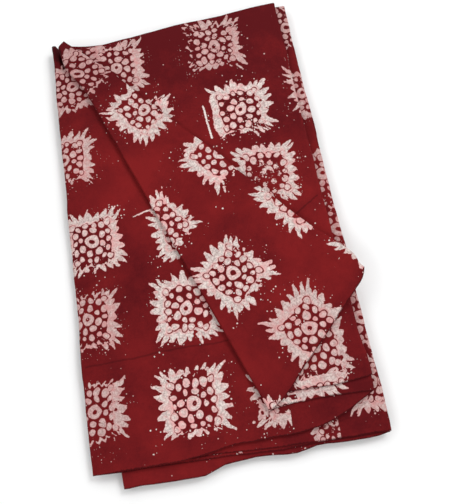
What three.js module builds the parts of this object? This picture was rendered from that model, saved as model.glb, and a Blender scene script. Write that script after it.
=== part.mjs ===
// A cut length of crepe dress cloth, put away as a shop folds it: in half, selvedge to selvedge, then
// back and forth into panels, with one corner of the top panel turned over on the slant.
// Units are millimetres. +Y runs towards the half fold, +Z is up, and the cloth lies on Z = 0.
// The cloth is made flat, as one thin box cut into columns along its length and rows across its width,
// and each corner of that grid is then carried to its folded place.
import * as THREE from "three";

// Driving dimensions.
const CLOTH_LENGTH = 1830; // along the cloth, from cut end to cut end
const CLOTH_WIDTH = 1140; // across it, from selvedge to selvedge
const PANELS = 6; // the back-and-forth folds share the length between them
const THICKNESS = 1.0;
const PLY_GAP = 0.5; // air between two plies that lie on each other

const HALF_PANEL = CLOTH_LENGTH / PANELS / 2;
const HALF_PLY = CLOTH_WIDTH / 4; // a ply reaches from a selvedge to the half fold
const PLY_PITCH = THICKNESS + PLY_GAP;
const PANEL_PITCH = 2 * PLY_PITCH; // a panel is two plies
const BEND_RADIUS = PANEL_PITCH / 2; // of the middle of a panel where it turns back
const HALF_FOLD_RADIUS = PLY_PITCH / 2;

// One row for each turn of the cloth, from the top panel's cut end to the bottom panel's, with the
// panel that follows it. No turn is quite where it should be: all the columns of numbers say how far
// past its even place something reaches, or falls short of it where they are negative. atBack and
// atFront are for the turn, which is straight, at the half fold and at the selvedges; back, outer
// and inner are for the half fold and the two selvedges at the turn, and midBack, midOuter and
// midInner are for the same three halfway along the panel that follows.
const LEFT = -1;
const RIGHT = 1;
const TURNS = [
  { name: "top cut end", side: LEFT, atBack: 17.5, atFront: 4.5, back: -1, outer: -65, inner: -54,
    midBack: -3, midOuter: -66, midInner: -38 },
  { name: "first right fold", side: RIGHT, atBack: -6.5, atFront: -4.5, back: 7, outer: -59, inner: -40,
    midBack: -1, midOuter: -11, midInner: -5 },
  { name: "first left fold", side: LEFT, atBack: 13, atFront: 10, back: 1, outer: -12, inner: -7,
    midBack: -1, midOuter: -4, midInner: -1 },
  { name: "second right fold", side: RIGHT, atBack: 6.5, atFront: 9.5, back: 4, outer: 2, inner: 3,
    midBack: -1, midOuter: 2, midInner: 5 },
  { name: "second left fold", side: LEFT, atBack: 7, atFront: -22, back: -2, outer: 9, inner: 12,
    midBack: -3, midOuter: 3, midInner: 1 },
  { name: "third right fold", side: RIGHT, atBack: 4.5, atFront: 5.5, back: -2, outer: -3, inner: -5,
    midBack: -4, midOuter: 0, midInner: -2 },
  { name: "bottom cut end", side: LEFT, atBack: 1, atFront: -25.5, back: -6, outer: -1, inner: -4 },
];

// The top panel's slanting fold starts at the back left corner and turns the left part of the panel
// over to the right. Its roll is wider near the half fold, where the corner stands a little open.
const SLANT = { side: LEFT, atBack: 1.5, atFront: -207.5, openRadius: 2.6, openLength: 60 };
const SLANT_ANGLE = Math.atan2(SLANT.atBack - SLANT.atFront, 2 * HALF_PLY);

// The cut end of the turned-over part lifts off the pile, and most at its tip, towards the selvedges.
const TIP_LIFT = 5;

// The pile is not flat: it swells and sinks by these shares of its height.
const SWELLS = [
  { share: 0.04, waveX: 510, waveY: 640, phase: 0.6 },
  { share: 0.025, waveX: -290, waveY: 430, phase: 2.1 },
];

// How finely the cloth is cut. The inner rows of both plies lie at the same places along Y.
const PANEL_STEPS = 7;
const BEND_STEPS = 5;
const HALF_FOLD_STEPS = 4;
const INNER_ROWS = { first: -205, last: 265, count: 8 };

const mix = THREE.MathUtils.lerp;

// x of the straight line that a turn or the slant follows, at a place along Y.
function lineX({ side, atBack, atFront }, y) {
  return side * (HALF_PANEL + mix(atFront, atBack, (y / HALF_PLY + 1) / 2));
}

// The curve through a value at the start, halfway and at the end.
function through(start, halfway, end, share) {
  const bulge = halfway - (start + end) / 2;
  return mix(start, end, share) + 4 * share * (1 - share) * bulge;
}

// The slanting roll's radius at a place along Y.
function slantRadius(y) {
  const open = THREE.MathUtils.smoothstep(y, HALF_PLY - SLANT.openLength, HALF_PLY);
  return BEND_RADIUS + open * SLANT.openRadius;
}

// The columns along the cloth. Each says its panel, the angle that it has turned through in the bend
// above that panel, and its x as a function of y.
function columns() {
  const list = [];
  const add = (panel, turned, x) => list.push({ panel, turned, x });
  // The top panel runs from its cut end to the slanting roll, round the roll and on to the right.
  const [cutEnd, firstFold] = TURNS;
  const rollEnd = (y, share) =>
    lineX(SLANT, y) - (share * Math.PI * slantRadius(y)) / Math.cos(SLANT_ANGLE);
  for (let k = 0; k < PANEL_STEPS; k++)
    add(0, 0, (y) => mix(lineX(cutEnd, y), rollEnd(y, 1), k / PANEL_STEPS));
  for (let k = BEND_STEPS; k > 0; k--) add(0, 0, (y) => rollEnd(y, k / BEND_STEPS));
  for (let k = 0; k < PANEL_STEPS; k++)
    add(0, 0, (y) => mix(lineX(SLANT, y), lineX(firstFold, y), k / PANEL_STEPS));
  // Each panel below starts with the bend that leads to it.
  for (let panel = 1; panel < PANELS; panel++) {
    const start = TURNS[panel];
    const end = TURNS[panel + 1];
    for (let k = 0; k < BEND_STEPS; k++)
      add(panel, (k / BEND_STEPS) * Math.PI, (y) => lineX(start, y));
    for (let k = 0; k < PANEL_STEPS; k++)
      add(panel, Math.PI, (y) => mix(lineX(start, y), lineX(end, y), k / PANEL_STEPS));
  }
  add(PANELS - 1, Math.PI, (y) => lineX(TURNS[PANELS], y));
  return list;
}

// The rows across the cloth, from the outer selvedge round the half fold to the inner one. Each says
// how far round the half fold it is, and its place along Y where that is not the selvedge or the fold.
function rows() {
  const { first, last, count } = INNER_ROWS;
  const inner = Array.from({ length: count }, (_, k) => mix(first, last, k / (count - 1)));
  const list = [{ edge: "outer", round: 0 }];
  for (const y of inner) list.push({ y, round: 0 });
  for (let k = 0; k <= HALF_FOLD_STEPS; k++)
    list.push({ edge: "back", round: (k / HALF_FOLD_STEPS) * Math.PI });
  for (const y of inner.reverse()) list.push({ y, round: Math.PI });
  list.push({ edge: "inner", round: Math.PI });
  return list;
}

// Where a selvedge or the half fold lies along Y, at a column.
const MIDDLE_OF = { back: "midBack", outer: "midOuter", inner: "midInner" };
function edgeY(column, edge) {
  const start = TURNS[column.panel];
  const end = TURNS[column.panel + 1];
  const even = edge === "back" ? HALF_PLY : -HALF_PLY;
  const share = (column.x(even) - lineX(start, even)) / (lineX(end, even) - lineX(start, even));
  const past = through(start[edge], start[MIDDLE_OF[edge]], end[edge], share);
  return even + Math.sign(even) * past;
}

// A point of the cloth while its panels still lie open: its place along Y, and its height over the
// middle of its panel, which is positive on the outer ply.
function halfFolded(column, row, side) {
  const y = row.edge ? edgeY(column, row.edge) : row.y;
  const radius = HALF_FOLD_RADIUS + (side * THICKNESS) / 2;
  return { y: y + radius * Math.sin(row.round), height: radius * Math.cos(row.round) };
}

// The height of a panel's middle, and whether its outer ply is on top, 1, or underneath, -1.
const panelHeight = (panel) => (PANELS - 1 - panel + 0.5) * PANEL_PITCH - PLY_GAP / 2;
const wayUp = (panel) => (panel % 2 === 0 ? 1 : -1);

// The same point once the panels are folded back and forth.
function panelFolded(column, y, height) {
  const x = column.x(y);
  if (column.panel === 0) return slantFolded(x, y, height);
  // The bend above a panel turns it over, about a centre halfway between the two.
  const up = wayUp(column.panel - 1);
  const radius = BEND_RADIUS + up * height;
  const centre = panelHeight(column.panel) + BEND_RADIUS;
  return new THREE.Vector3(
    x + up * radius * Math.sin(column.turned),
    y,
    centre + radius * Math.cos(column.turned),
  );
}

// A point of the top panel, with the part beyond the slanting line rolled up and laid over to the right.
function slantFolded(x, y, height) {
  const beyond = (lineX(SLANT, y) - x) * Math.cos(SLANT_ANGLE);
  const level = panelHeight(0);
  if (beyond <= 0) return new THREE.Vector3(x, y, level + height);
  const left = new THREE.Vector2(-Math.cos(SLANT_ANGLE), -Math.sin(SLANT_ANGLE));
  const foot = new THREE.Vector2(x, y).addScaledVector(left, -beyond);
  const wide = slantRadius(y);
  const turned = Math.min(beyond / wide, Math.PI);
  const radius = wide - height;
  const lying = Math.max(beyond - Math.PI * wide, 0);
  const place = foot.addScaledVector(left, radius * Math.sin(turned) - lying);
  // The cut end's lift grows with the cube of the way to it, and evenly towards the tip.
  const widest = (lineX(SLANT, y) - lineX(TURNS[0], y)) * Math.cos(SLANT_ANGLE) - Math.PI * wide;
  const towardsTip = (1 - y / HALF_PLY) / 2;
  const lift = TIP_LIFT * (lying / widest) ** 3 * Math.max(towardsTip, 0);
  return new THREE.Vector3(place.x, place.y, level + wide - radius * Math.cos(turned) + lift);
}

// The pile's swells.
function settle(point) {
  let swell = 1;
  for (const { share, waveX, waveY, phase } of SWELLS)
    swell += share * Math.sin(phase + Math.PI * 2 * (point.x / waveX + point.y / waveY));
  point.z *= swell;
  return point;
}

function clothGeometry() {
  const along = columns();
  const across = rows();
  const nAlong = along.length - 1;
  const nAcross = across.length - 1;
  const flat = new THREE.BoxGeometry(CLOTH_LENGTH, CLOTH_WIDTH, THICKNESS, nAlong, nAcross, 1);
  flat.deleteAttribute("normal");
  flat.deleteAttribute("uv");
  const position = flat.getAttribute("position");
  for (let i = 0; i < position.count; i++) {
    const column = along[Math.round((position.getX(i) / CLOTH_LENGTH + 0.5) * nAlong)];
    const row = across[Math.round((position.getY(i) / CLOTH_WIDTH + 0.5) * nAcross)];
    const { y, height } = halfFolded(column, row, Math.sign(position.getZ(i)));
    const point = settle(panelFolded(column, y, height));
    position.setXYZ(i, point.x, point.y, point.z);
  }
  return flat;
}

// The part's origin is the middle of its base.
function centred(geometry) {
  geometry.computeBoundingBox();
  const box = geometry.boundingBox;
  return geometry.translate(-(box.min.x + box.max.x) / 2, -(box.min.y + box.max.y) / 2, -box.min.z);
}

const dyedCrepe = new THREE.MeshStandardMaterial({ color: 0x7f2226, roughness: 0.85, metalness: 0 });
const cloth = new THREE.Mesh(centred(clothGeometry()), dyedCrepe);
cloth.name = "adire_cloth";

const group = new THREE.Group();
group.add(cloth);
export default group;
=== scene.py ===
"""A cut length of adire crepe: folded in half, selvedge to selvedge, then back and forth into six
panels, with the left part of the top panel turned over on the slant.

The cloth is one thin sheet. It is cut into columns along its length and rows across its width, and
each corner of that grid is carried to its folded place by the same folds as the CAD solid's. Its
resist-stamped print follows the cloth: every face knows the stamp that it lies nearest to, and the
material draws the stamp from that.

The folding plan is in millimetres, X along the cloth, Y towards the half fold, and Z up. The plan is
laid on the CAD solid, in metres, when the mesh is made.
"""
import math
from collections import namedtuple
from itertools import count

import bpy
import numpy as np
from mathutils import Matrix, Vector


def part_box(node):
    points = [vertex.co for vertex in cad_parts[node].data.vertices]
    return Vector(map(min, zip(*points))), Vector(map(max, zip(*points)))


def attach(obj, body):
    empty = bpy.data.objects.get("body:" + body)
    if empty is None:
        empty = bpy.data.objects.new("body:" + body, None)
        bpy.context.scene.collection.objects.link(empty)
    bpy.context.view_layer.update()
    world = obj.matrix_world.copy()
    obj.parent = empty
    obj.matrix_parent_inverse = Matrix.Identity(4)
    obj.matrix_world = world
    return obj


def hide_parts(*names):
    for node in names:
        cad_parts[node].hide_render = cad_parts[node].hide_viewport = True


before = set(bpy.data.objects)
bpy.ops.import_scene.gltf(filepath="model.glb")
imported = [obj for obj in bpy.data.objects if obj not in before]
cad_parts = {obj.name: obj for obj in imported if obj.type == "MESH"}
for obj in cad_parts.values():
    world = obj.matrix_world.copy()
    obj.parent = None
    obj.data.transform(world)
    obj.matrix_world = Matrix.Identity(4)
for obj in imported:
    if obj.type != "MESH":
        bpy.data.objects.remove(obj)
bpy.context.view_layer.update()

MM = 0.001

# --- The cloth and its folds, as in the CAD model ---

CLOTH_LENGTH = 1830
CLOTH_WIDTH = 1140
PANELS = 6
SOLID_THICKNESS = 1.0  # of the CAD solid's plies
PLY_GAP = 0.5
SHEET_THICKNESS = 0.5  # of the visible sheet
SHARP_ANGLE = math.radians(50)  # edges that turn further are crisp
PLY_PITCH = SOLID_THICKNESS + PLY_GAP
PANEL_PITCH = 2 * PLY_PITCH

HALF_PANEL = CLOTH_LENGTH / PANELS / 2
HALF_PLY = CLOTH_WIDTH / 4
BEND_RADIUS = PANEL_PITCH / 2
HALF_FOLD_RADIUS = PLY_PITCH / 2

LEFT = -1
RIGHT = 1

# Each turn of the cloth, from the top panel's cut end to the bottom panel's: how far it lies past its
# even place, or short of it where negative, at the half fold and at the selvedges.
Turn = namedtuple("Turn", "side at_back at_front")
TURNS = (
    Turn(LEFT, at_back=17.5, at_front=4.5),
    Turn(RIGHT, at_back=-6.5, at_front=-4.5),
    Turn(LEFT, at_back=13, at_front=10),
    Turn(RIGHT, at_back=6.5, at_front=9.5),
    Turn(LEFT, at_back=7, at_front=-22),
    Turn(RIGHT, at_back=4.5, at_front=5.5),
    Turn(LEFT, at_back=1, at_front=-25.5),
)
TOP_CUT_END = TURNS[0]
FIRST_LEFT_FOLD = TURNS[2]
SECOND_LEFT_FOLD = TURNS[4]

# The half fold and the two selvedges of each panel, from the turn before it to the turn after it: how
# far they lie past their even places, at points evenly spaced along the panel.
Edges = namedtuple("Edges", "back outer inner")
PANEL_EDGES = (
    Edges(
        back=(-11.5, -14, -11.5, -8.5, -4, -0.5, 2.5, 4.5, 7),
        outer=(-65, -65.5, -66, -66, -66, -64, -57, -55.5, -58.5),
        inner=(-50.5, -48, -46, -42, -38.5, -37, -44, -45, -42),
    ),
    Edges(
        back=(7, 4, 1, -1, -4.5, -8.5, -10, -7, 3),
        outer=(-59, -38, -24, -15, -14, -10, -9, -10, -12),
        inner=(-42, -22.5, -13, -12, -13.5, -7.5, -6, -6, -7),
    ),
    Edges(back=(3, -7, -9.5, -8, -4, -1, 1, 2.5, 4), outer=(-12, -4, 2), inner=(-7, -1, 3)),
    Edges(
        back=(4, 1.5, -0.5, -2, -4, -7, -8, -6, -2),
        outer=(2, 2, 9),
        inner=(3, 5.3, 5, 4.4, 3.5, 6.3, 8.5, 4.9, 3, 4.5, 5.5, 12.8, 13, 13.3, 13, 12, 12.5),
    ),
    Edges(back=(-2, -5.5, -6.5, -4, -2), outer=(9, 3, -3), inner=(12, 1, -5)),
    Edges(back=(-2, -4, -6), outer=(-3, 0, -1), inner=(-5, -2, -4)),
)

# The slanting fold of the top panel. Its roll is wider near the half fold.
SLANT = Turn(LEFT, at_back=1.5, at_front=-207.5)
SLANT_OPEN_RADIUS = 2.6
SLANT_OPEN_LENGTH = 60
SLANT_ANGLE = math.atan2(SLANT.at_back - SLANT.at_front, 2 * HALF_PLY)
TIP_LIFT = 5  # of the turned-over corner, at its tip

# The pile swells and sinks by these shares of its height, in waves of these lengths along X and Y,
# which start at these phases.
SWELLS = ((0.04, 510, 640, 0.6), (0.025, -290, 430, 2.1))

CAD_FRONT = 12  # how far past its even place the CAD solid's frontmost selvedge lies

# --- What only the sheet has ---

# The first left fold reaches past the second, with nothing under it, so it sinks over this distance.
SINK_DEPTH = 4
SINK_LENGTH = 30
LOWEST = 0.3  # the sheet's middle never comes nearer to the floor than this

# Towards the selvedges the plies above this height are pressed together, to this share of their pitch.
PRESSED_ABOVE = 8.5
PRESSED_SHARE = 0.6
PRESSED_FROM = -225
PRESSED_TO = -262

# Where the two upper panels stand off the pile, by height at x, y and within a radius of it.
Lift = namedtuple("Lift", "x y radius height")
LIFTS = (Lift(118, -262, 34, 3.2), Lift(20, -284, 60, 1.6), Lift(-60, -290, 40, 1.0))

# A pocket that the slanting roll's open end presses into the panels under it, from back to front.
POCKET_BACK = (-158.5, 288)
POCKET_FRONT = (-151.5, 246)
POCKET_HALF_WIDTH = 4.4
POCKET_TAPER = 0.75  # how much narrower it is at its front
POCKET_DEPTH = 0.8  # of the height there
POCKET_ENDS = ((-0.09, 0.02), (1.05, 0.8))  # where it fades out and is full, as shares of its length

# The slanting fold bows to the left of its straight line by this much, here along Y.
BOW = 8
BOW_MIDDLE = 241
BOW_LENGTH = 25
BOW_REACH = 45  # how far into the panel the bow is felt
BOW_WHOLE = 2  # how far in it is still whole

# The turned-over corner's tip is rounded, and the cut end flares out towards it.
TIP_RADIUS = 20
TIP_PULL = 6
FLARE = 5.8
FLARE_LENGTH = 60

# Where a fold, by its number, bulges out of its line: the middle along Y, the length and how far.
Bulge = namedtuple("Bulge", "number y length reach")
BULGES = (Bulge(1, -222, 48, 7), Bulge(1, -125, 60, 3), Bulge(1, -20, 40, 1.5))

# Pressed-in creases: a soft trough with a low ridge beside it, from start to end, and how dark the
# painted shade along its sharp bottom is. A ply of a panel has its own.
Crease = namedtuple("Crease", "panel ply start end depth width ridge dark")
CREASES = (
    Crease(1, "inner", (-166, -160.5), (24, -159), depth=0.3, width=3.6, ridge=1.2, dark=0.4),
    Crease(0, "outer", (112, -24), (152, 2), depth=0.6, width=2.5, ridge=0.5, dark=0.5),
    Crease(0, "inner", (47, -170), (88, -92), depth=0.3, width=5, ridge=0.8, dark=0),
)

CREASE_ENDS = (8, -12)  # how far beyond its end a crease has faded out, and is still full
RIDGE_OFF = 0.6  # of the crease's width
RIDGE_WIDTH = 1.4

# Low waves of the upper plies, none of them quite straight.
Wave = namedtuple("Wave", "height length angle phase")
WAVES = (
    Wave(0.45, 118, 8, 0.4),
    Wave(0.35, 83, -24, 1.9),
    Wave(0.25, 56, 71, 4.2),
    Wave(0.3, 171, 97, 5.3),
    Wave(0.12, 31, 14, 2.6),
)
WAVE_BEND = 0.6
WAVE_BEND_RATE = 1.7
RELIEF_MOST = 1.3  # waves and creases grow no more above this share of the pile's height
RELIEF_POWER = 1.5

LINE_WANDER = 1.2  # how far creases and drips stray from a straight line
TURN_WANDER = 0.8  # how far the folds and cut ends stray from a straight line
EDGE_WANDER = {"back": 0.6, "outer": 1.1, "inner": 1.1}
WANDER_WAVES = (171, 88, 41, 19)
WANDER_ROUGHNESS = 0.6  # how slowly the shorter waves weaken
WANDER_PEAK = 1.6  # of the waves' sum
LINE_SEED = 11
TURN_SEED = 40
EDGE_SEEDS = {"back": 60, "outer": 70, "inner": 80}

# How finely the cloth is cut.
ROW_STEP = 7
FINE_ROW_STEP = 3
FINE_ROWS = (-172, -146)  # round the crease near the selvedges
FIRST_ROW = -200
LAST_ROW = 262
FRONT_STEPS = 9
BACK_STEPS = 5
HALF_FOLD_STEPS = 8
BEND_STEPS = 6
ROLL_STEPS = 10
FLAP_STEPS = 31
TOP_LENGTH = 1.3 * HALF_PANEL  # of the top panel, from the slanting fold to the right, on average
# Along each panel: the usual step, and the fine step and where it holds, at its start and its end.
Cut = namedtuple("Cut", "step fine fine_start fine_end")
PANEL_CUTS = (
    Cut(step=7, fine=3.5, fine_start=14, fine_end=7),
    Cut(step=6.8, fine=3, fine_start=0, fine_end=30),
    Cut(step=12, fine=3.5, fine_start=30, fine_end=14),
    Cut(step=12, fine=4, fine_start=12, fine_end=20),
    Cut(step=17, fine=4, fine_start=20, fine_end=10),
    Cut(step=17, fine=5, fine_start=10, fine_end=20),
)


def mix(a, b, share):
    return a + (b - a) * share


def smooth(value, low, high):
    """0 below low, 1 above high, and a soft step between them; low may be above high."""
    share = np.clip((value - low) / (high - low), 0, 1)
    return share * share * (3 - 2 * share)


def wander(place, seed):
    """A smooth uneven line along place, mostly between -1 and 1."""
    phases = np.random.default_rng(seed).uniform(0, 2 * math.pi, len(WANDER_WAVES))
    total = 0
    for wave, phase in zip(WANDER_WAVES, phases):
        height = (wave / WANDER_WAVES[0]) ** WANDER_ROUGHNESS
        total = total + height * np.sin(2 * math.pi * place / wave + phase)
    return total / WANDER_PEAK


def through(values, share):
    """A smooth curve through evenly spaced values, at shares from 0 to 1."""
    values = np.array(values, dtype=float)
    ends = (2 * values[0] - values[1], 2 * values[-1] - values[-2])
    padded = np.concatenate(([ends[0]], values, [ends[1]]))
    place = np.clip(share, 0, 1) * (len(values) - 1)
    cell = np.minimum(place.astype(int), len(values) - 2)
    t = place - cell
    before, start, end, after = (padded[cell + k] for k in range(4))
    return start + t / 2 * (
        end - before
        + t * (2 * before - 5 * start + 4 * end - after + t * (3 * (start - end) + after - before))
    )


def line_x(turn, y):
    """x of a turn's line at a place along Y."""
    past = mix(turn.at_front, turn.at_back, (y / HALF_PLY + 1) / 2)
    return turn.side * (HALF_PANEL + past)


def turn_x(number, y):
    """The same, as uneven as the cloth really lies."""
    x = line_x(TURNS[number], y) + TURN_WANDER * wander(y, TURN_SEED + number)
    for bulge in BULGES:
        if bulge.number == number:
            out = bulge.reach * np.exp(-(((y - bulge.y) / bulge.length) ** 2))
            x = x + TURNS[number].side * out
    if number > 0:
        return x
    from_corner = y + HALF_PLY + PANEL_EDGES[0].outer[0]
    x = x - FLARE * smooth(from_corner, FLARE_LENGTH, 0)
    return x + TIP_PULL * np.clip(1 - from_corner / TIP_RADIUS, 0, 1) ** 2


# --- Folding ---

Column = namedtuple("Column", "panel turned x")
Row = namedtuple("Row", "anchor edge share round")


def slant_radius(y):
    opening = smooth(y, HALF_PLY - SLANT_OPEN_LENGTH, HALF_PLY)
    return BEND_RADIUS + opening * SLANT_OPEN_RADIUS


def roll_end(y, share):
    """x, on the flat cloth, of a place part of the way round the slanting roll."""
    return line_x(SLANT, y) - share * math.pi * slant_radius(y) / math.cos(SLANT_ANGLE)


def shares(cut, length):
    """Where a panel is cut along its length, from 0 up to but not including 1."""
    places = list(np.arange(0, cut.fine_start, cut.fine))
    coarse = length - cut.fine_start - cut.fine_end
    steps = round(coarse / cut.step)
    places += [cut.fine_start + coarse * k / steps for k in range(steps)]
    places += list(np.arange(length - cut.fine_end, length - 0.5 * cut.fine, cut.fine))
    return [place / length for place in places]


def columns():
    """The columns along the cloth: their panel, how far they have turned in the bend above it, and x
    as a function of y."""
    found = []

    def add(panel, turned, x):
        found.append(Column(panel, turned, x))

    for k in range(FLAP_STEPS):
        add(0, 0, lambda y, s=k / FLAP_STEPS: mix(turn_x(0, y), roll_end(y, 1), s))
    for k in range(ROLL_STEPS, 0, -1):
        add(0, 0, lambda y, s=k / ROLL_STEPS: roll_end(y, s))
    for share in shares(PANEL_CUTS[0], TOP_LENGTH):
        add(0, 0, lambda y, s=share: mix(line_x(SLANT, y), turn_x(1, y), s))
    for panel in range(1, PANELS):
        for k in range(BEND_STEPS):
            add(panel, math.pi * k / BEND_STEPS, lambda y, n=panel: turn_x(n, y))
        for share in shares(PANEL_CUTS[panel], 2 * HALF_PANEL):
            add(panel, math.pi, lambda y, n=panel, s=share: mix(turn_x(n, y), turn_x(n + 1, y), s))
    add(PANELS - 1, math.pi, lambda y: turn_x(PANELS, y))
    return found


def rows():
    """The rows across the cloth, from the outer selvedge round the half fold to the inner one."""
    inside = [
        *np.arange(FIRST_ROW + ROW_STEP, FINE_ROWS[0], ROW_STEP),
        *np.arange(FINE_ROWS[0], FINE_ROWS[1], FINE_ROW_STEP),
        *np.arange(FINE_ROWS[1], LAST_ROW, ROW_STEP),
    ]

    def ply(edge, turned):
        front = [Row(FIRST_ROW, edge, 1 - k / FRONT_STEPS, turned) for k in range(FRONT_STEPS + 1)]
        middle = [Row(y, edge, 0, turned) for y in inside]
        back = [Row(LAST_ROW, "back", k / BACK_STEPS, turned) for k in range(BACK_STEPS)]
        return front + middle + back

    fold = [
        Row(LAST_ROW, "back", 1, math.pi * k / HALF_FOLD_STEPS) for k in range(HALF_FOLD_STEPS + 1)
    ]
    return ply("outer", 0) + fold + ply("inner", math.pi)[::-1]


def edge_y(column, edge):
    """Where a selvedge or the half fold lies along Y, at a column."""
    even = HALF_PLY if edge == "back" else -HALF_PLY
    start = turn_x(column.panel, even)
    end = turn_x(column.panel + 1, even)
    x = column.x(even)
    share = np.array((x - start) / (end - start))
    past = through(getattr(PANEL_EDGES[column.panel], edge), share)
    seed = EDGE_SEEDS[edge] + column.panel
    if column.panel == 0 and edge != "back":
        past -= TIP_PULL * np.clip(1 - (x - start) / TIP_RADIUS, 0, 1) ** 2
    # Each panel wanders on its own, and not at its turns, where it meets the next.
    unbent = math.sin(math.pi * np.clip(share, 0, 1)) ** 0.5
    return even + math.copysign(1, even) * (past + unbent * EDGE_WANDER[edge] * wander(x, seed))


def panel_height(panel):
    return (PANELS - 1 - panel + 0.5) * PANEL_PITCH - PLY_GAP / 2


def bend(x, y, height, column):
    """Places of a panel under a bend, once the bend has turned it over."""
    up = 1 if (column.panel - 1) % 2 == 0 else -1
    radius = BEND_RADIUS + up * height
    centre = panel_height(column.panel) + BEND_RADIUS
    return np.stack(
        [x + up * radius * math.sin(column.turned), y, centre + radius * math.cos(column.turned)], -1
    )


def slant_fold(x, y, height):
    """Places of the top panel, with what lies beyond the slanting line rolled up and laid over."""
    level = panel_height(0)
    beyond = (line_x(SLANT, y) - x) * math.cos(SLANT_ANGLE)
    left = np.array([-math.cos(SLANT_ANGLE), -math.sin(SLANT_ANGLE)])
    wide = slant_radius(y)
    turned = np.clip(beyond / wide, 0, math.pi)
    radius = wide - height
    lying = np.maximum(beyond - math.pi * wide, 0)
    reach = radius * np.sin(turned) - lying - beyond
    widest = (line_x(SLANT, y) - line_x(TOP_CUT_END, y)) * math.cos(SLANT_ANGLE) - math.pi * wide
    lift = TIP_LIFT * (lying / widest) ** 3 * np.maximum((1 - y / HALF_PLY) / 2, 0)
    over = beyond > 0
    return np.stack(
        [
            np.where(over, x + left[0] * reach, x),
            np.where(over, y + left[1] * reach, y),
            np.where(over, level + wide - radius * np.cos(turned) + lift, level + height),
        ],
        -1,
    )


# Each of the next six moves the points that it is given.


def bowed(points):
    """The bow of the slanting fold."""
    x, y = points[..., 0], points[..., 1]
    near = smooth(x - line_x(SLANT, y), BOW_REACH, BOW_WHOLE)
    points[..., 0] -= BOW * near * np.exp(-(((y - BOW_MIDDLE) / BOW_LENGTH) ** 2))


def swollen(points):
    """The pile's swells, as shares of the height."""
    x, y = points[..., 0], points[..., 1]
    swell = 1
    for share, wave_x, wave_y, phase in SWELLS:
        swell = swell + share * np.sin(phase + 2 * math.pi * (x / wave_x + y / wave_y))
    points[..., 2] *= swell


def pressed(points):
    """The upper plies pressed together towards the selvedges."""
    above = np.maximum(points[..., 2] - PRESSED_ABOVE, 0)
    near = smooth(points[..., 1], PRESSED_FROM, PRESSED_TO)
    points[..., 2] -= above * near * (1 - PRESSED_SHARE)


def sunk(points, panel):
    """The first left fold, sunk where it reaches past the second, and the panel on top of it."""
    if panel > 2:
        return
    edge = line_x(SECOND_LEFT_FOLD, points[..., 1]) - 2 * BEND_RADIUS
    sink = smooth(edge - points[..., 0], 0, SINK_LENGTH)
    points[..., 2] -= SINK_DEPTH * sink


def lifted(points, panel):
    """Where the upper panels stand off the pile."""
    if panel > 1:
        return
    for lift in LIFTS:
        distance = np.hypot(points[..., 0] - lift.x, points[..., 1] - lift.y)
        points[..., 2] += lift.height * np.exp(-((distance / lift.radius) ** 2))


def pocketed(points, panel):
    """The pocket beside the slanting roll's open end."""
    if panel == 0:
        return
    x, y = points[..., 0], points[..., 1]
    share = (POCKET_BACK[1] - y) / (POCKET_BACK[1] - POCKET_FRONT[1])
    middle = mix(POCKET_BACK[0], POCKET_FRONT[0], share)
    half_width = POCKET_HALF_WIDTH * (1 - POCKET_TAPER * np.clip(share, 0, 1))
    across = np.clip(1 - ((x - middle) / half_width) ** 2, 0, 1)
    along = smooth(share, *POCKET_ENDS[1]) * smooth(share, *POCKET_ENDS[0])
    points[..., 2] *= 1 - POCKET_DEPTH * across * along


def from_line(line, x, y):
    """How far a place lies to the left of a crease or a drip, and how far beyond its nearer end."""
    start, end = np.array(line.start), np.array(line.end)
    length = np.linalg.norm(end - start)
    ahead = (end - start) / length
    along = (x - start[0]) * ahead[0] + (y - start[1]) * ahead[1]
    off = (y - start[1]) * ahead[0] - (x - start[0]) * ahead[1] + LINE_WANDER * wander(along, LINE_SEED)
    return off, np.maximum(-along, along - length)


def relief(x, y):
    """Waves and creases of the pile's top, in millimetres."""
    height = 0
    for wave in WAVES:
        angle = math.radians(wave.angle)
        along = x * math.cos(angle) + y * math.sin(angle)
        across = y * math.cos(angle) - x * math.sin(angle)
        bent = WAVE_BEND * np.sin(across / wave.length * WAVE_BEND_RATE + wave.phase)
        height = height + wave.height * np.sin(2 * math.pi * along / wave.length + wave.phase + bent)
    for crease in CREASES:
        off, beyond = from_line(crease, x, y)
        trough = crease.depth * np.exp(-((off / crease.width) ** 2))
        from_ridge = (off - RIDGE_OFF * crease.width) / (RIDGE_WIDTH * crease.width)
        ridge = crease.ridge * np.exp(-(from_ridge**2))
        height = height + smooth(beyond, *CREASE_ENDS) * (ridge - trough)
    return height


def folded(column, y, height):
    """The x of one column's points on their flat ply, and their folded places."""
    x = column.x(y)
    if column.panel == 0:
        points = slant_fold(x, y, height)
        bowed(points)
    else:
        points = bend(x, y, height, column)
    pressed(points)
    swollen(points)
    growth = np.clip(points[..., 2] / panel_height(0), 0, RELIEF_MOST) ** RELIEF_POWER
    points[..., 2] += relief(points[..., 0], points[..., 1]) * growth
    sunk(points, column.panel)
    lifted(points, column.panel)
    pocketed(points, column.panel)
    points[..., 2] = np.maximum(points[..., 2], LOWEST)
    return x, points


# --- The print's layout ---

STAMP_PITCH = 106
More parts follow.
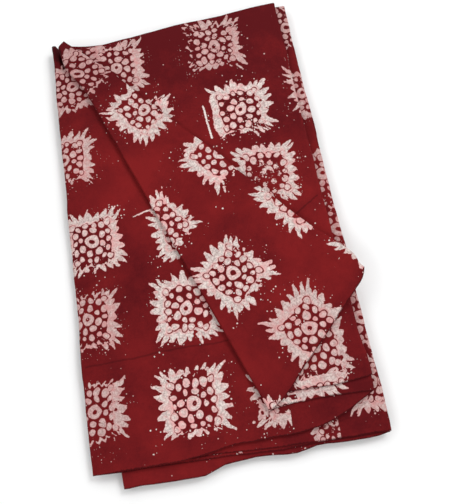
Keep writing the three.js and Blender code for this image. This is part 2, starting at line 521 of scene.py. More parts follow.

# A stamp: its middle on the panel lying flat, how it is turned, how fully its left, right, back and
# front sides have printed, how worn its middle is, how large it is, how dull and shaded its white is,
# whether there is a print at all, and how far to the right of its middle it ends. The dullness is
# partly painted shade, higher towards the cloth's left and right edges and its back. A side above 1
# has run together, at 2 into a straight band. Its seed, and whether a fold mirrors it, are set later.
Stamp = namedtuple(
    "Stamp",
    "x y turn sides worn size dull printed cut seed flip_x flip_y",
    defaults=(0, 1, 0.1, True, STAMP_PITCH, 0, 1, 1),
)
VISIBLE_STAMPS = {
    (0, "outer"): (
        Stamp(-129, 244.5, 3, (0.5, 1.0, 1.0, 0.6), dull=0.7),
        Stamp(-81, 230, 3, (0.3, 0.9, 0.5, 0.6), size=1.08, dull=0.5),
        Stamp(-52, 141, 3, (0.5, 1.0, 0.2, 0.5)),
        Stamp(54, 239, -2, (0.35, 0.7, 0.6, 0.4), worn=0.08, size=1.1, dull=0.55),
        Stamp(73, 134, 2, (2, 0.8, 0.8, 0.6), size=1.1),
        Stamp(89.5, 37.5, -3, (0.7, 0.8, 0.8, 0.6), worn=0.19, size=1.07, dull=0.2),
        Stamp(100.5, -184, 2, (0.6, 0.85, 0.5, 0.45), size=1.04, dull=0.4),
        Stamp(103, -250, 3, (0.4, 0.4, 1.7, 0.5), dull=0.3),
        Stamp(176, 152, 0, (0.8, 0.5, 0.4, 0.5), dull=0.5),
        Stamp(-60, -120, 0, (0.5, 0.5, 0.5, 0.5)),
    ),
    (0, "inner"): (
        Stamp(87, -203, 3, (0.9, 0.8, 0.5, 1.0), dull=0.3),
        Stamp(-142.7, 225.2, 0, (0.6, 0.8, 0.6, 0.5), dull=0.7),
        Stamp(-154, 119, 3, (0.4, 1.0, 0.6, 0.8), size=1.05, dull=0.2),
        Stamp(-164.5, -1, -1, (0.5, 1.0, 0.8, 0.5), size=1.05),
        Stamp(-181, -111, 2, (0.4, 1.0, 0.8, 0.6), size=1.12),
        Stamp(-190.5, -213, 0, (0.5, 0.9, 0.5, 0.5)),
        Stamp(-47, -7, 2, (0.6, 0.6, 0.85, 0.4)),
        Stamp(-57, -114, -2, (0.7, 1.0, 0.9, 0.6), size=1.03),
        Stamp(-62, -223, 3, (0.9, 0.8, 0.85, 0.7), size=1.05, dull=0.35),
        Stamp(52, -266, 0, (0.5, 0.5, 0.5, 0.5)),
    ),
    (1, "inner"): (
        Stamp(-143, 216, 2, (0.9, 0.5, 0.7, 0.55), dull=0.65),
        Stamp(-164, 108, -2, (0.6, 1.0, 0.6, 0.6), dull=0.45),
        Stamp(-139, -10, 2, (0.6, 0.95, 0.7, 0.5), size=1.03, dull=0.2),
        Stamp(-27, -14, 2, (1.0, 0.5, 0.5, 1.0)),
        Stamp(-153, -106, -1, (0.5, 1.0, 0.3, 0.4), dull=0.5),
        Stamp(-154.5, -211, 1, (0.5, 1.0, 0.25, 0.1), dull=0.5),
        Stamp(-36, -114, -2, (1.0, 0.6, 0.7, 0.7), size=1.05),
        Stamp(-43.5, -222, 1, (1.0, 0.75, 0.6, 0.45), size=1.06),
        Stamp(59, -225, 3, (0.55, 0.2, 0.2, 0.9), worn=0.4, dull=0.4, cut=3),
        Stamp(125, -150, 0, (0.8, 0.2, 0.4, 0.9), printed=False),
    ),
    (2, "outer"): (
        Stamp(157, 252, 1, (0.5, 0.6, 0.5, 0.4), dull=0.6),
        Stamp(157, 145, -2, (0.9, 0.6, 0.5, 0.6), dull=0.6),
        Stamp(157, 26, 2, (0.6, 0.6, 0.7, 0.5), dull=0.6),
        Stamp(160, -50, 0, (0.6, 0.7, 0.5, 0.5), dull=0.6),
        Stamp(160, -160, 2, (0.7, 0.5, 0.6, 0.5), dull=0.6),
        Stamp(156, -233, -4, (1.0, 0.7, 0.4, 1.0), size=0.84, dull=0.5),
        Stamp(104, -266, 3, (0.6, 0.4, 0.4, 0.3), worn=0.15, size=0.76, dull=0.6, cut=8),
    ),
}
FIRST_STAMP = (12, 48)  # of the other plies' even grid, from a panel's left and front
HIDDEN_SHIFT = 5  # how far their stamps lie off the grid
HIDDEN_TURN = 4
HIDDEN_SIDES = (0.25, 1)
HIDDEN_DULL_AND_SHADE = 0.4
HIDDEN_SEED = 500
FAR_OFF = 1000  # a place that no print reaches

# Lines of wax that the stamp has left where it was set down askew or lifted off, by their ends on the
# folded pile.
Drip = namedtuple("Drip", "panel ply start end width")
DRIPS = (
    Drip(1, "inner", (-84, 13), (-57, 20), width=1.0),
    Drip(0, "outer", (25, 151), (29.5, 98), width=1.2),
)


def plain_stamps(panel, ply):
    """An even grid of stamps, each a little off its place, but none at a fold that leads to a ply
    whose stamps are known."""
    folds = [
        line_x(TURNS[max(panel, neighbour)], 0)
        for neighbour in (panel - 1, panel + 1)
        if (neighbour, ply) in VISIBLE_STAMPS
    ]
    random = np.random.default_rng(HIDDEN_SEED + 2 * panel + (ply == "inner"))
    found = []
    for x in np.arange(-HALF_PANEL + FIRST_STAMP[0], HALF_PANEL, STAMP_PITCH):
        if any(abs(x - fold) < STAMP_PITCH / 2 for fold in folds):
            continue
        for y in np.arange(-HALF_PLY + FIRST_STAMP[1], HALF_PLY, STAMP_PITCH):
            shift = random.uniform(-HIDDEN_SHIFT, HIDDEN_SHIFT, 2)
            sides = random.uniform(*HIDDEN_SIDES, 4)
            turn = random.uniform(-HIDDEN_TURN, HIDDEN_TURN)
            found.append(Stamp(x + shift[0], y + shift[1], turn, sides, dull=HIDDEN_DULL_AND_SHADE))
    return found


def stamps_seen():
    """The stamps of each ply of each panel, and those that reach it across its folds, mirrored."""
    seeds = count(1)
    own = {}
    for panel in range(PANELS):
        for ply in ("outer", "inner"):
            made = VISIBLE_STAMPS.get((panel, ply)) or plain_stamps(panel, ply)
            own[panel, ply] = [stamp._replace(seed=next(seeds)) for stamp in made]
    seen = {}
    for panel, ply in own:
        found = list(own[panel, ply])
        for neighbour in (panel - 1, panel + 1):
            turn = TURNS[max(panel, neighbour)]
            for stamp in own.get((neighbour, ply), ()):
                fold = line_x(turn, stamp.y) + turn.side * math.pi * BEND_RADIUS / 2
                found.append(stamp._replace(x=2 * fold - stamp.x, flip_x=-1))
        fold = HALF_PLY + math.pi * HALF_FOLD_RADIUS / 2
        for stamp in own[panel, "inner" if ply == "outer" else "outer"]:
            found.append(stamp._replace(y=2 * fold - stamp.y, flip_y=-1))
        seen[panel, ply] = found
    return seen


def print_of(stamps, x, y):
    """For the corners of faces on the flat ply: their places about the face's nearest stamp, how
    fully that stamp's sides have printed, and its seed, wear, and dullness with painted shade."""
    every = Stamp(*(np.array(values) for values in zip(*stamps)))
    ahead = x.mean(-1)[:, None] - every.x
    distance = np.hypot(ahead, y.mean(-1)[:, None] - every.y)
    distance = np.where(ahead * every.flip_x > every.cut, FAR_OFF, distance)
    nearest = np.argmin(distance, axis=1)
    near = Stamp(*(values[nearest].reshape(len(nearest), -1) for values in every))
    off_x = (x - near.x) * near.flip_x / near.size
    off_y = (y - near.y) * near.flip_y / near.size
    turn = np.radians(near.turn)
    u = off_x * np.cos(turn) + off_y * np.sin(turn) + np.where(near.printed, 0, FAR_OFF)
    v = off_y * np.cos(turn) - off_x * np.sin(turn)
    look = np.concatenate([near.sides, near.seed, near.worn, near.dull], -1)
    return np.concatenate([np.stack([u, v], -1), np.repeat(look[:, None], 4, axis=1)], -1)


# --- The sheet ---


def lay_on_solid(points):
    """Millimetres of the folding plan to metres of the frame: the first left fold and the front
    selvedge reach the sides of the CAD solid."""
    low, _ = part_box("adire_cloth")
    leftmost = line_x(FIRST_LEFT_FOLD, HALF_PLY) - BEND_RADIUS - HALF_FOLD_RADIUS - SOLID_THICKNESS / 2
    frontmost = -HALF_PLY - CAD_FRONT
    origin = np.array([low[0] - leftmost * MM, low[1] - frontmost * MM, low[2]])
    return points * MM + origin


# How much darker than its middle tone the red is, or how much lighter: round patches of the pile, by
# their x, y, radius and depth. The patches are partly uneven dye and partly painted light and shade:
# darker towards the back and the front right, lighter in parts of the middle. Past a depth of about 2
# the cloth darkens further into painted shade, in the mouth of the slanting roll.
MIDDLE_DEPTH = 0.42
DYE_AND_SHADE_PATCHES = (
    (0, 305, 130, 0.9), (-150, 240, 60, 0.7), (-163, 282, 8.5, 4.5), (-158, 266, 6, 4),
    (120, 262, 50, 0.15), (168, 110, 40, 0.3), (-172, 0, 25, 0.3), (-75, 50, 50, -0.45),
    (90, 125, 60, 0.5), (25, 110, 40, -0.35), (115, -20, 50, -0.25), (60, 25, 35, 0.1),
    (-150, -15, 45, 0.5), (-155, -110, 35, 0.2), (172, 262, 35, 1.1), (-80, -70, 50, 0.3),
    (-85, -125, 50, 0.1), (20, -85, 35, 0.3), (120, -105, 45, -0.38), (30, -185, 50, -0.2),
    (140, -225, 80, 0.4), (-140, -205, 40, 0.3), (-47, -212, 35, 0.3), (-60, -300, 40, -0.2),
    (145, -140, 30, 0.2), (55, -262, 45, 0.3),
)


def dye_and_shade_depth(points):
    # Uneven dye together with painted light and shade, summed over the patches.
    depth = MIDDLE_DEPTH
    for x, y, radius, deeper in DYE_AND_SHADE_PATCHES:
        distance = np.hypot(points[..., 0] - x, points[..., 1] - y)
        depth = depth + deeper * np.exp(-((distance / radius) ** 2))
    return depth


def make_mesh(name, points, faces):
    mesh = bpy.data.meshes.new(name)
    mesh.from_pydata(points.tolist(), [], faces.tolist(), shade_flat=False)
    mesh.validate()
    return mesh


def add_object(name, data):
    thing = bpy.data.objects.new(name, data)
    bpy.context.scene.collection.objects.link(thing)
    return thing


Grid = namedtuple("Grid", "panel round points x next_x y from_selvedge")


def folded_grid():
    """For each column of the sheet its panel, for each row how far round the half fold it is, and for
    each point its folded place, its x on its own panel lying flat, the next column's x on that same
    panel, its y, and how far it lies from its selvedge."""
    along, across = columns(), rows()
    size = len(along), len(across)
    turned_half = np.array([row.round for row in across])
    anchors = np.array([row.anchor for row in across])
    row_shares = np.array([row.share for row in across])
    past_fold = HALF_FOLD_RADIUS * np.minimum(turned_half, math.pi - turned_half)

    flat_x, flat_y, from_selvedge = np.zeros(size), np.zeros(size), np.zeros(size)
    points = np.zeros((*size, 3))
    for k, column in enumerate(along):
        edges = {edge: edge_y(column, edge) for edge in Edges._fields}
        y = mix(anchors, np.array([edges[row.edge] for row in across]), row_shares)
        flat_y[k] = y + past_fold
        from_selvedge[k] = y - np.where(turned_half > math.pi / 2, edges["inner"], edges["outer"])
        height = HALF_FOLD_RADIUS * np.cos(turned_half)
        flat_x[k], points[k] = folded(column, y + HALF_FOLD_RADIUS * np.sin(turned_half), height)

    # In a bend, each column lies past its own panel's fold line.
    panel = np.array([column.panel for column in along])
    turned = np.array([column.turned for column in along])
    side = np.array([TURNS[p].side for p in panel])
    past = np.where(panel > 0, side * (math.pi - turned) * BEND_RADIUS, 0)
    own_x = flat_x + past[:, None]
    next_x = np.where((panel[1:] == panel[:-1])[:, None], own_x[1:], flat_x[1:])
    return Grid(panel, turned_half, points, own_x, next_x, flat_y, from_selvedge)


def corners_of(first, second):
    """Values at the four corners of each face, from those at its first column and its second."""
    return np.stack([first[:, :-1], second[:, :-1], second[:, 1:], first[:, 1:]], -1)


def line_marks(lines, field, grid):
    """For each point, how far it lies off its ply's nearest line, how far beyond the line's end, and
    what the line says in a field."""
    marks = np.zeros(grid.points.shape)
    marks[..., 0] = FAR_OFF
    is_inner = grid.round > math.pi / 2
    for line in lines:
        off, beyond = from_line(line, grid.points[..., 0], grid.points[..., 1])
        beyond = np.maximum(beyond, 0)
        own = (grid.panel == line.panel)[:, None] & (is_inner == (line.ply == "inner"))
        nearer = own & (np.hypot(off, beyond) < np.abs(marks[..., 0]) + marks[..., 1])
        for k, mark in enumerate((off, beyond, getattr(line, field))):
            marks[..., k] = np.where(nearer, mark, marks[..., k])
    return marks


def add_attribute(mesh, name, kind, domain, values):
    layer = mesh.attributes.new(name, kind, domain)
    key = {"FLOAT": "value", "FLOAT_VECTOR": "vector", "FLOAT_COLOR": "color"}[kind]
    layer.data.foreach_set(key, values.reshape(-1).astype(np.float32))


def add_print(mesh, grid):
    """Each face's place on the flat cloth and on its stamp, and how its stamp has printed."""
    face_x = corners_of(grid.x[:-1], grid.next_x)
    face_y = corners_of(grid.y[:-1], grid.y[1:])
    marks = np.zeros((*face_x.shape, 11))
    half = (grid.round[1:] + grid.round[:-1]) / 2 > math.pi / 2
    for (panel, ply), stamps in stamps_seen().items():
        pick = np.ix_(grid.panel[:-1] == panel, half == (ply == "inner"))
        x, y = face_x[pick], face_y[pick]
        ahead = x if panel % 2 == 0 else -x
        across = CLOTH_WIDTH - y if ply == "inner" else y
        place = np.stack([panel * 2 * HALF_PANEL + ahead, across], -1)
        printed = print_of(stamps, x.reshape(-1, 4), y.reshape(-1, 4)).reshape(*x.shape, -1)
        marks[pick] = np.concatenate([place, printed], -1)
    cloth_uv, stamp_uv, sides, looks = np.split(marks, (2, 4, 8), axis=-1)
    for name, values in (("StampUV", stamp_uv), ("ClothUV", cloth_uv)):
        layer = mesh.uv_layers.new(name=name)
        layer.data.foreach_set("uv", values.reshape(-1).astype(np.float32))
    add_attribute(mesh, "print_sides", "FLOAT_COLOR", "CORNER", sides)
    add_attribute(mesh, "print_stamp", "FLOAT_VECTOR", "CORNER", looks)


def cloth():
    """The folded sheet, with what its material needs to know."""
    grid = folded_grid()
    index = np.arange(grid.y.size).reshape(grid.y.shape)
    faces = corners_of(index[:-1], index[1:]).reshape(-1, 4)
    mesh = make_mesh("folded_cloth", lay_on_solid(grid.points.reshape(-1, 3)), faces)
    for name, lines, field in (("crease", CREASES, "dark"), ("drip", DRIPS, "width")):
        add_attribute(mesh, name, "FLOAT_VECTOR", "POINT", line_marks(lines, field, grid))
    add_attribute(mesh, "from_selvedge", "FLOAT", "POINT", grid.from_selvedge)
    add_attribute(mesh, "dye_and_shade_depth", "FLOAT", "POINT", dye_and_shade_depth(grid.points))
    add_print(mesh, grid)
    return thickened(mesh)


def thickened(mesh):
    """The sheet as an object, given its thickness."""
    piece = add_object(mesh.name, mesh)
    solidify = piece.modifiers.new("Thickness", "SOLIDIFY")
    solidify.thickness = SHEET_THICKNESS * MM
    solidify.offset = 0
    evaluated = piece.evaluated_get(bpy.context.evaluated_depsgraph_get())
    thick = bpy.data.meshes.new_from_object(evaluated)
    piece.modifiers.clear()
    piece.data = thick
    thick.name = mesh.name
    thick.set_sharp_from_angle(angle=SHARP_ANGLE)
    return piece


# --- Materials ---


class Value:
    """A number that a material's nodes work out. Sums, powers and so on add Math nodes."""

    def __init__(self, socket):
        self.socket = socket
        self.tree = socket.id_data

    def __add__(self, other):
        return of("ADD", self, other)

    def __sub__(self, other):
        return of("SUBTRACT", self, other)

    def __rsub__(self, other):
        return of("SUBTRACT", other, self)

    def __mul__(self, other):
        return of("MULTIPLY", self, other)

    def __truediv__(self, other):
        return of("DIVIDE", self, other)

    def __pow__(self, other):
        return of("POWER", self, other)

    def __abs__(self):
        return of("ABSOLUTE", self)

    __radd__ = __add__
    __rmul__ = __mul__


def new_node(tree, kind, inputs, **settings):
    """A node with its settings, its inputs fed with numbers, colours, Values or other sockets."""
    node = tree.nodes.new("ShaderNode" + kind)
    for name, setting in settings.items():
        setattr(node, name, setting)
    for key, value in inputs.items():
        socket = node.inputs[key]
        if isinstance(value, Value):
            value = value.socket
        if isinstance(value, bpy.types.NodeSocket):
            tree.links.new(value, socket)
        else:
            socket.default_value = value
    return node


def of(operation, *inputs):
    """A Math node's result for numbers and Values, of which one at least is a Value."""
    tree = next(value.tree for value in inputs if isinstance(value, Value))
    node = new_node(tree, "Math", dict(enumerate(inputs)), operation=operation)
    return Value(node.outputs[0])


def length(a, b):
    return of("SQRT", a * a + b * b)


def clamped(value):
    return of("MINIMUM", of("MAXIMUM", value, 0), 1)


def step(value, low, high):
    """0 where value is below low, 1 above high, soft between them; low may be above high."""
    below, above = (0, 1) if low < high else (1, 0)
    inputs = {"Value": value, "From Min": min(low, high), "From Max": max(low, high)}
    inputs |= {"To Min": below, "To Max": above}
    node = new_node(value.tree, "MapRange", inputs, interpolation_type="SMOOTHSTEP")
    return Value(node.outputs["Result"])


def blend(a, b, share):
    """a where share is 0, b where it is 1."""
    return (b - a) * share + a


def vector(x, y, z=0.0):
    return new_node(x.tree, "CombineXYZ", {"X": x, "Y": y, "Z": z}).outputs[0]


def parts_of(socket):
    node = new_node(socket.id_data, "SeparateXYZ", {"Vector": socket})
    return [Value(output) for output in node.outputs]


def noise(place, size, detail, roughness=0.5):
    """Soft noise whose lumps are about size wide."""
    inputs = {"Vector": place, "Scale": 1 / size, "Detail": detail, "Roughness": roughness}
    return new_node(place.id_data, "TexNoise", inputs)


def noise_value(place, size, detail, roughness=0.5):
    return Value(noise(place, size, detail, roughness).outputs["Fac"])


def noise_shift(place, size, reach, detail):
    """Two noise values about zero, up to about reach either way."""
    x, y, _ = parts_of(noise(place, size, detail).outputs["Color"])
    return (x - 0.5) * (2 * reach), (y - 0.5) * (2 * reach)


def random_of(x, y):
    """Three even random numbers for each pair of whole numbers."""
    node = new_node(x.tree, "TexWhiteNoise", {"Vector": vector(x, y)}, noise_dimensions="2D")
    return parts_of(node.outputs["Color"])


# A ring of dots in the stamp: its radius on the sides and how much more at the corners, the dots'
# radius, and how far round the ring starts, as a share of the way from dot to dot.
DotRing = namedtuple("DotRing", "count radius corners dot_radius start")
NEAR_DOTS = DotRing(count=8, radius=13.2, corners=0.4, dot_radius=3.75, start=0.35)
FAR_DOTS = DotRing(count=14, radius=21.0, corners=1.8, dot_radius=3.5, start=0.0)
RING_RADIUS = 5.4
RING_HALF_WIDTH = 2.6
RING_TALLNESS = 1.06
CORNER_DOT_PLACE = 20.9
CORNER_DOT_RADIUS = 3.4
FRAME_INSIDE = 23.0
FRAME_OUTSIDE = 30.6
FRAME_SQUARENESS = 4.5
FRAME_SHIFT = 4.5
FLAMES_A_SIDE = 7
STAMP_TALLNESS = 1.06
SEED_STEP = 71.3  # between the stamps' slices of noise


def dot_ring(angle, radius, ring, seed):
    """Distance to the nearest of a ring of uneven dots, negative inside them."""
    pitch = 2 * math.pi / ring.count
    place = angle / pitch + ring.start
    cell = of("ROUND", place)
    first, second, third = random_of(of("FLOORED_MODULO", cell, ring.count), seed)
    middle = of("COSINE", (cell - ring.start) * (4 * pitch)) * (-ring.corners / 2)
    swing = (place - cell + (first - 0.5) * 0.18) * pitch
    ahead = radius * of("COSINE", swing) - middle - (second - 0.5) * 1.8
    aside = radius * of("SINE", swing)
    from_middle = length(ahead - (ring.radius + ring.corners / 2), aside)
    return from_middle - (third * 0.38 + 0.76) * ring.dot_radius


def flames(u, v, seed, strength, patch):
    """The frame of flames that fan out from a rounded square: the distance to its edge, how far
    outwards of the flames' foot a place lies, and how full the print is. Where the stamp has
    printed weakly, only the flames' outlines are left. As its strength rises from 1 to 2, they run
    together into a straight band."""
    across, down = abs(u), abs(v)
    square = (across**FRAME_SQUARENESS + down**FRAME_SQUARENESS) ** (1 / FRAME_SQUARENESS)
    upright = of("GREATER_THAN", across, down)
    sideways = blend(u, v, upright) / of("MAXIMUM", of("MAXIMUM", across, down), 0.01)
    place = (sideways * 0.5 + 0.5) * FLAMES_A_SIDE
    cell = of("FLOOR", place)
    far_side = of("GREATER_THAN", blend(v, u, upright), 0)
    tall, lean, blunt = random_of(cell + upright * 20 + far_side * 40, seed)
    off_middle = abs(place - cell - 0.5 + (lean - 0.5) * 0.3)
    rise = clamped(off_middle * -2.4 + 1.22) ** (blunt * 0.7 + 0.75)
    at_corner = abs(sideways) ** 4
    full = clamped(strength * 4.0 + (patch - 0.5) * 6.2 - 1.6)
    reach = tall * (full * 4.3 + 3.5) + full * 0.6 + 2.6 + at_corner * 5
    solid = clamped(strength - 1)
    outer_edge = rise * reach * (1 - solid) + full * 2.7 + solid * 2.5 + (FRAME_OUTSIDE - 2.6)
    inner_edge = blend(outer_edge - 3.2 - blunt * 1.6, FRAME_INSIDE, full)
    return of("MAXIMUM", square - outer_edge, inner_edge - square), square - FRAME_OUTSIDE, full


def stamp_print(stamp_place, seed, worn, sides):
    """The stamp: a ring, dots round it and a frame of flames. Gives the distance to its edge, which
    is negative inside it, and the distance past the foot of the flames."""
    raw_u, raw_v, _ = parts_of(stamp_place)
    seeded = vector(raw_u, raw_v, seed * SEED_STEP)
    raw_v = raw_v / STAMP_TALLNESS
    bend_u, bend_v = noise_shift(seeded, 15, 3.6, detail=1)
    rough_u, rough_v = noise_shift(seeded, 3.6, 1.0, detail=3)

    # The ring and the dots stay fairly round.
    u = raw_u + bend_u + rough_u * 0.6
    v = raw_v + bend_v + rough_v * 0.6
    radius = length(u, v)
    angle = of("ARCTAN2", v, u)
    ring = abs(length(u * RING_TALLNESS, v) - RING_RADIUS) - RING_HALF_WIDTH
    near_dots = dot_ring(angle, radius, NEAR_DOTS, seed)
    far_dots = dot_ring(angle, radius, FAR_DOTS, seed + 0.5)
    off_corner = length(abs(u) - CORNER_DOT_PLACE, abs(v) - CORNER_DOT_PLACE)
    outer_dots = of("MINIMUM", far_dots, off_corner - CORNER_DOT_RADIUS)

    # The frame does not sit quite true about them, and its edges are ragged.
    shift_u, shift_v, _ = random_of(seed, 3.0)
    frame_u = raw_u + bend_u + rough_u * 1.5 + (shift_u - 0.5) * FRAME_SHIFT
    frame_v = raw_v + bend_v + rough_v * 1.5 + (shift_v - 0.5) * FRAME_SHIFT
    left, right, back, front = sides
    strength = blend(
        blend(front, back, step(v, -3, 3)),
        blend(left, right, step(u, -3, 3)),
        step(abs(u) - abs(v), -4, 4),
    )
    patch = noise_value(seeded, 16, detail=1)
    frame_part, past_frame, full = flames(frame_u, frame_v, seed, strength, patch)
    gap_round_dots = of("MINIMUM", (patch - 0.40) * 9.0, 1.2)
    frame_part = of("MAXIMUM", frame_part, gap_round_dots - outer_dots)
    broken = step(noise_value(seeded, 6, detail=1), 0.50, 0.55) * step(full, 0.6, 0.4)
    frame_part = frame_part + broken * 3.0

    dots = of("MINIMUM", of("SMOOTH_MIN", near_dots, ring, 1.0), outer_dots)
    wear = noise_value(seeded, 8, detail=4, roughness=0.7) + worn * step(radius, 30, 12)
    return of("MINIMUM", dots, frame_part) + step(wear, 0.66, 0.72) * 3.2, past_frame


SPATTER_PITCH = 3.6
CRACKLE_PITCH = 9.0
PEBBLE_SIZE = 0.9
PEBBLE_HEIGHT = 0.25
EDGE = (0.3, -0.3)  # how far outside a white shape the red is whole, and how far inside the white
RED = (0.190, 0.0106, 0.0116, 1)
# The red at full depth: deeper dye, and painted shade where the depth stands for shade.
DEEP_AND_SHADED_RED = (0.092, 0.0052, 0.0074, 1)
WAXED = (0.77, 0.685, 0.64, 1)
GREYED = (0.38, 0.308, 0.29, 1)
PINKED = (0.79, 0.37, 0.36, 1)
DULLED_AND_SHADED = (0.38, 0.163, 0.16, 1)
CRACK = (0.20, 0.09, 0.085, 1)
SHADE = (0.035, 0.003, 0.004, 1)


def colour_mix(share, first, second):
    """The colour first where share is 0, second where it is 1."""
    inputs = {"Factor": share, "A": first, "B": second}
    return new_node(share.tree, "Mix", inputs, data_type="RGBA").outputs["Result"]


def voronoi(place, pitch, feature):
    """Uneven cells about a pitch wide, and the distance from their middles or their edges."""
    inputs = {"Vector": place, "Scale": 1 / pitch}
    node = new_node(place.id_data, "TexVoronoi", inputs, voronoi_dimensions="2D", feature=feature)
    return node, Value(node.outputs["Distance"]) * pitch


def spatter(place, past_frame):
    """Drops of wax between the stamps, most of them near the frames."""
    cells, distance = voronoi(place, SPATTER_PITCH, "F1")
    chance, size, _ = parts_of(cells.outputs["Color"])
    crowd = step(noise_value(place, 24, detail=2), 0.44, 0.66)
    present = of("GREATER_THAN", crowd * (step(past_frame, 24, 4) * 0.47 + 0.05), chance)
    return step(distance - size * size * size * 0.9 - 0.2, 0.2, -0.2) * present


def crackle(place):
    """Fine cracks of the wax, where dye has run in: lines that cross the white parts."""
    shift_x, shift_y = noise_shift(place, 9, 5, detail=2)
    place_x, place_y, _ = parts_of(place)
    bent = vector(place_x + shift_x, place_y + shift_y)
    _, distance = voronoi(bent, CRACKLE_PITCH, "DISTANCE_TO_EDGE")
    return step(distance, 0.45, 0.08)


def uv_place(tree, name):
    return new_node(tree, "UVMap", {}, uv_map=name).outputs[0]


def attribute(tree, name, output="Vector"):
    return new_node(tree, "Attribute", {}, attribute_name=name).outputs[output]


def new_material(name, roughness, specular):
    """A material, with its tree and its shader."""
    material = bpy.data.materials.new(name)
    material.use_nodes = True
    shader = material.node_tree.nodes["Principled BSDF"]
    shader.inputs["Roughness"].default_value = roughness
    shader.inputs["Specular IOR Level"].default_value = specular
    return material, material.node_tree, shader


# Noises that several parts of the cloth's material share.
Noises = namedtuple("Noises", "mottle fine speckle ragged")


def cloth_noises(place):
    return Noises(
        mottle=noise_value(place, 42, detail=3, roughness=0.55),
        fine=noise_value(place, 7, detail=3, roughness=0.6),
        speckle=noise_value(place, 2.4, detail=3, roughness=0.75),
        ragged=noise_value(place, 2.2, detail=2, roughness=0.7),
    )


def white_share(place, edge, past_frame, noises):
    """1 where wax has kept the dye off: the stamps, stray drops and the drips."""
    off, beyond, width = parts_of(attribute(place.id_data, "drip"))
    off_drip = abs(off) + beyond + (noises.speckle - 0.5) * 3 - width
    waxed = of("MAXIMUM", step(edge, *EDGE), spatter(place, past_frame))
    return of("MAXIMUM", waxed, step(off_drip, *EDGE))


def red_colour(depth, noises):
    uneven = (noises.mottle - 0.5) * 1.5 + (noises.fine - 0.5) * 0.5
    uneven = uneven + (noises.speckle - 0.5) * 0.7
    # The depth darkens the red with painted shade as well as with uneven dye.
    return colour_mix(clamped(uneven + depth), RED, DEEP_AND_SHADED_RED)


def pale_colour(place, edge, dull, noises):
    """The white of the print: greyed in specks, pink where dye has bled in, dulled with painted shade,
    and crackled.
    """
    # Stray drops of wax stay whiter than the stamps.
    stamped = step(edge, 1.2, 0.6)
    greyed = step(noises.speckle * 0.65 + noises.fine * 0.35, 0.42, 0.60) * (stamped * 0.8 + 0.2)
    pale = colour_mix(greyed, WAXED, GREYED)
    pink = step(noises.mottle * 0.5 + noises.fine * 0.5, 0.48, 0.62) * 0.5
    bleed = step(edge, -2.8, 0.2) * stamped * 0.55 + pink
    pale = colour_mix(of("MINIMUM", bleed, 1), pale, PINKED)
    # Painted shade: each stamp's dullness darkens its white, most near the cloth's left and right edges
    # and its back.
    pale = colour_mix(dull * (noises.fine * 0.8 + 0.6), pale, DULLED_AND_SHADED)
    cracked = crackle(place) * step(noises.fine, 0.56, 0.44) * 0.42
    return colour_mix(cracked, pale, CRACK)


def dark_share(tree, depth, noises):
    """How dark the painted shade is: along the selvedges, with their frayed threads, at the bottoms of
    the creases, and in the roll's mouth.
    """
    from_selvedge = Value(attribute(tree, "from_selvedge", "Fac"))
    # Painted shade along the selvedges, darkest at the frayed threads of the edge.
    threads_and_shade = step(from_selvedge + (noises.ragged - 0.5) * 4, 1.5, 0.7) * 0.7
    off, beyond, dark = parts_of(attribute(tree, "crease"))
    off_bottom = abs(off + (noises.fine - 0.5) * 2.5) + beyond + (noises.ragged - 0.5) * 0.8
    # Painted shade along each crease's sharp bottom.
    bottom = step(off_bottom, 1.8, 0.2) * dark
    # Painted shade in the slanting roll's mouth, where the depth passes about 2.
    return of("MAXIMUM", of("MAXIMUM", threads_and_shade, bottom), step(depth, 1.9, 3.0) * 0.8)


def dyed_crepe():
    """Crepe dyed deep red over a wax-resist print."""
    material, tree, shader = new_material("dyed_crepe", roughness=0.85, specular=0.06)
    sides = parts_of(attribute(tree, "print_sides"))
    sides.append(Value(attribute(tree, "print_sides", "Alpha")))
    seed, worn, dull = parts_of(attribute(tree, "print_stamp"))
    stamp_place = uv_place(tree, "StampUV")
    edge, past_frame = stamp_print(stamp_place, of("ROUND", seed), worn, sides)

    place = uv_place(tree, "ClothUV")
    # The dye's depth carries painted light and shade as well as uneven dye.
    depth = Value(attribute(tree, "dye_and_shade_depth", "Fac"))
    noises = cloth_noises(place)
    white = white_share(place, edge, past_frame, noises)
    pale = pale_colour(place, edge, dull, noises)
    colour = colour_mix(white, red_colour(depth, noises), pale)
    # Painted shade, mixed in towards SHADE.
    shaded = colour_mix(dark_share(tree, depth, noises), colour, SHADE)
    tree.links.new(shaded, shader.inputs["Base Color"])

    # Crepe: a pebbled surface of tightly twisted threads.
    pebbles = noise_value(place, PEBBLE_SIZE, detail=2)
    inputs = {"Strength": 0.35, "Distance": PEBBLE_HEIGHT * MM, "Height": pebbles}
    bump = new_node(tree, "Bump", inputs)
    tree.links.new(bump.outputs["Normal"], shader.inputs["Normal"])
    return material


def floor_material():
    material, _, shader = new_material("pale_floor", roughness=0.9, specular=0.1)
    shader.inputs["Base Color"].default_value = (0.9, 0.9, 0.9, 1)
    return material


# --- Floor, light and camera ---

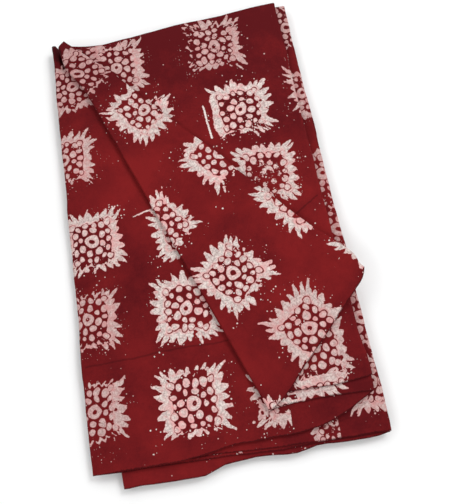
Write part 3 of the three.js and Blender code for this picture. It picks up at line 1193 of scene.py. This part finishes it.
FLOOR_SIZE = 8.0
WALL_FOOT = (0.30, 0.38)
WALL_TOP = (0.82, 0.70)
WALL_LIGHT = 1.85
ROOM_LIGHT = 0.08
KEY_POWER = 32
KEY_SIZE = 1.2
KEY_PLACE = (1.75, 1.15, 2.1)
CAMERA_PLACE = (0.0249, -0.26525, 0.65377)
CAMERA_ANGLES = (17.985, 3.001, -9.877)  # in degrees


def floor():
    corners = FLOOR_SIZE / 2 * np.array([(-1, -1, 0), (1, -1, 0), (1, 1, 0), (-1, 1, 0)])
    piece = add_object("floor", make_mesh("floor", corners, np.array([[0, 1, 2, 3]])))
    piece.data.materials.append(floor_material())


def key_light():
    """A broad light from the right, aimed at the cloth's middle."""
    light = bpy.data.lights.new("key", "AREA")
    light.shape = "DISK"
    light.size = KEY_SIZE
    light.energy = KEY_POWER
    thing = add_object("key", light)
    thing.location = KEY_PLACE
    thing.rotation_euler = (-thing.location).to_track_quat("-Z", "Y").to_euler()


def room():
    """A soft room, brightest halfway up its walls."""
    world = bpy.data.worlds.new("soft_room")
    world.use_nodes = True
    tree = world.node_tree
    background = tree.nodes["Background"]
    background.inputs["Color"].default_value = (1, 1, 1, 1)
    _, _, up = parts_of(new_node(tree, "TexCoord", {}).outputs["Generated"])
    walls = step(up, *WALL_FOOT) * step(up, *WALL_TOP)
    strength = walls * WALL_LIGHT + ROOM_LIGHT
    tree.links.new(strength.socket, background.inputs["Strength"])
    bpy.context.scene.world = world
    bpy.context.scene.view_settings.view_transform = "Standard"


def camera():
    """Above the cloth's front, looking down and back, a little turned."""
    eye = bpy.data.cameras.new("camera")
    eye.sensor_fit = "VERTICAL"
    eye.sensor_height = 24
    eye.lens = 26.67
    eye.clip_start = 0.01
    thing = add_object("camera", eye)
    thing.location = CAMERA_PLACE
    thing.rotation_euler = [math.radians(angle) for angle in CAMERA_ANGLES]
    bpy.context.scene.camera = thing


camera()
sheet = cloth()
sheet.data.materials.clear()
sheet.data.materials.append(dyed_crepe())
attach(sheet, "root")
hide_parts("adire_cloth")
floor()
room()
key_light()
